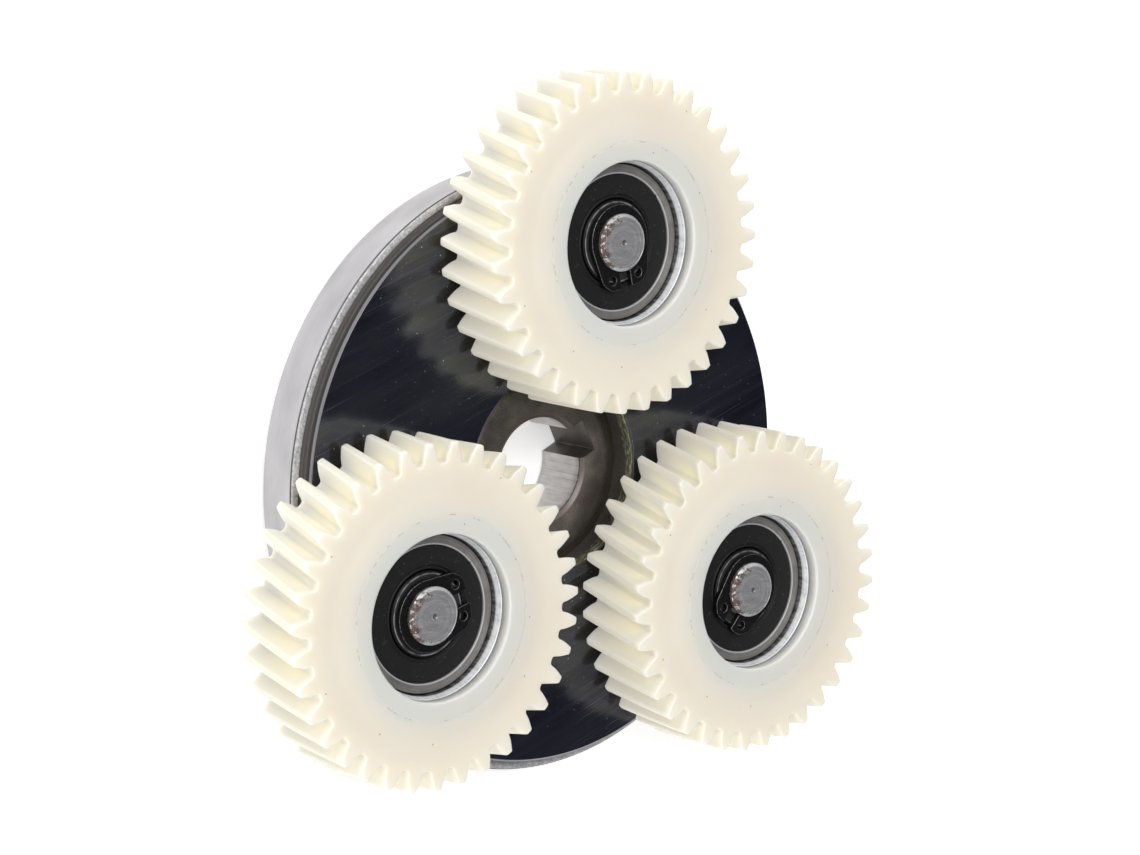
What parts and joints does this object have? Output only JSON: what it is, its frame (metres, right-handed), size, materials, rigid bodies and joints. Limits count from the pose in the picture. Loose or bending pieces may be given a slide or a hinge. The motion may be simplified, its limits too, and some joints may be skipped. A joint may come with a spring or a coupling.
{
  "type": "planetary gearbox carrier",
  "caption": "Planet carrier with helical nylon planet gears on ball bearings and a keyed one-way clutch hub, for a geared wheel hub motor.",
  "frame": {"origin": "on the axis of the hub's keyed bore, at the hub's rear end face", "axes": "+Z along the bore towards the planet gears; +Y towards the first planet gear"},
  "size_m": [0.1056, 0.1009, 0.0262],
  "materials": {
    "cup_steel": "brushed, bare drawn steel with a rough rolled lip",
    "plate_steel": "dark, fine-ground and oiled steel with scratches",
    "hub_steel": "dark brown-black heat-treated steel, finely machined",
    "bearing_steel": "polished bearing steel",
    "spring_steel": "bright spring wire",
    "brass": "satin brass",
    "bronze": "oil-soaked sintered bronze",
    "pin_steel": "turned steel with light rust",
    "nylon": "natural cream nylon, smooth and slightly translucent",
    "insert_steel": "turned steel",
    "ring_steel": "ground bearing steel",
    "seal_rubber": "moulded black rubber",
    "clip_steel": "black phosphated spring steel"
  },
  "bodies": {
    "carrier": {"clutch_housing": "cup_steel", "carrier_plate": "plate_steel", "front_bush": "bronze", "rear_bush": "bronze", "planet_pin_1": "pin_steel", "planet_pin_2": "pin_steel", "planet_pin_3": "pin_steel", "inner_ring_1": "bearing_steel", "inner_ring_2": "bearing_steel", "inner_ring_3": "bearing_steel", "circlip_1": "clip_steel", "circlip_2": "clip_steel", "circlip_3": "clip_steel"},
    "hub": {"clutch_hub": "hub_steel", "clutch_rollers": "bearing_steel", "roller_springs": "spring_steel", "spring_plungers": "brass"},
    "planet_1": {"planet_gear_1": "nylon", "gear_insert_1": "insert_steel", "outer_ring_1": "ring_steel", "front_seal_1": "seal_rubber", "rear_seal_1": "seal_rubber"},
    "cage_1": {"bearing_balls_1": "bearing_steel", "ball_cage_1": "brass"},
    "planet_2": {"planet_gear_2": "nylon", "gear_insert_2": "insert_steel", "outer_ring_2": "ring_steel", "front_seal_2": "seal_rubber", "rear_seal_2": "seal_rubber"},
    "cage_2": {"bearing_balls_2": "bearing_steel", "ball_cage_2": "brass"},
    "planet_3": {"planet_gear_3": "nylon", "gear_insert_3": "insert_steel", "outer_ring_3": "ring_steel", "front_seal_3": "seal_rubber", "rear_seal_3": "seal_rubber"},
    "cage_3": {"bearing_balls_3": "bearing_steel", "ball_cage_3": "brass"}
  },
  "joints": [
    {"name": "hub_spin", "type": "hinge", "parent": "carrier", "child": "hub", "pos_m": [0, 0, 0.005], "axis": [0, 0, 1], "continuous": true},
    {"name": "planet_1_spin", "type": "hinge", "parent": "carrier", "child": "planet_1", "pos_m": [0, 0.0336, 0.0193], "axis": [0, 0, 1], "continuous": true},
    {"name": "cage_1_spin", "type": "hinge", "parent": "carrier", "child": "cage_1", "pos_m": [0, 0.0336, 0.0193], "axis": [0, 0, 1], "continuous": true},
    {"name": "planet_2_spin", "type": "hinge", "parent": "carrier", "child": "planet_2", "pos_m": [-0.0291, -0.0168, 0.0193], "axis": [0, 0, 1], "continuous": true},
    {"name": "cage_2_spin", "type": "hinge", "parent": "carrier", "child": "cage_2", "pos_m": [-0.0291, -0.0168, 0.0193], "axis": [0, 0, 1], "continuous": true},
    {"name": "planet_3_spin", "type": "hinge", "parent": "carrier", "child": "planet_3", "pos_m": [0.0291, -0.0168, 0.0193], "axis": [0, 0, 1], "continuous": true},
    {"name": "cage_3_spin", "type": "hinge", "parent": "carrier", "child": "cage_3", "pos_m": [0.0291, -0.0168, 0.0193], "axis": [0, 0, 1], "continuous": true}
  ],
  "couplings": [
    {"joint": "cage_1_spin", "follows": "planet_1_spin", "ratio": 0.63},
    {"joint": "cage_2_spin", "follows": "planet_2_spin", "ratio": 0.63},
    {"joint": "cage_3_spin", "follows": "planet_3_spin", "ratio": 0.63}
  ]
}
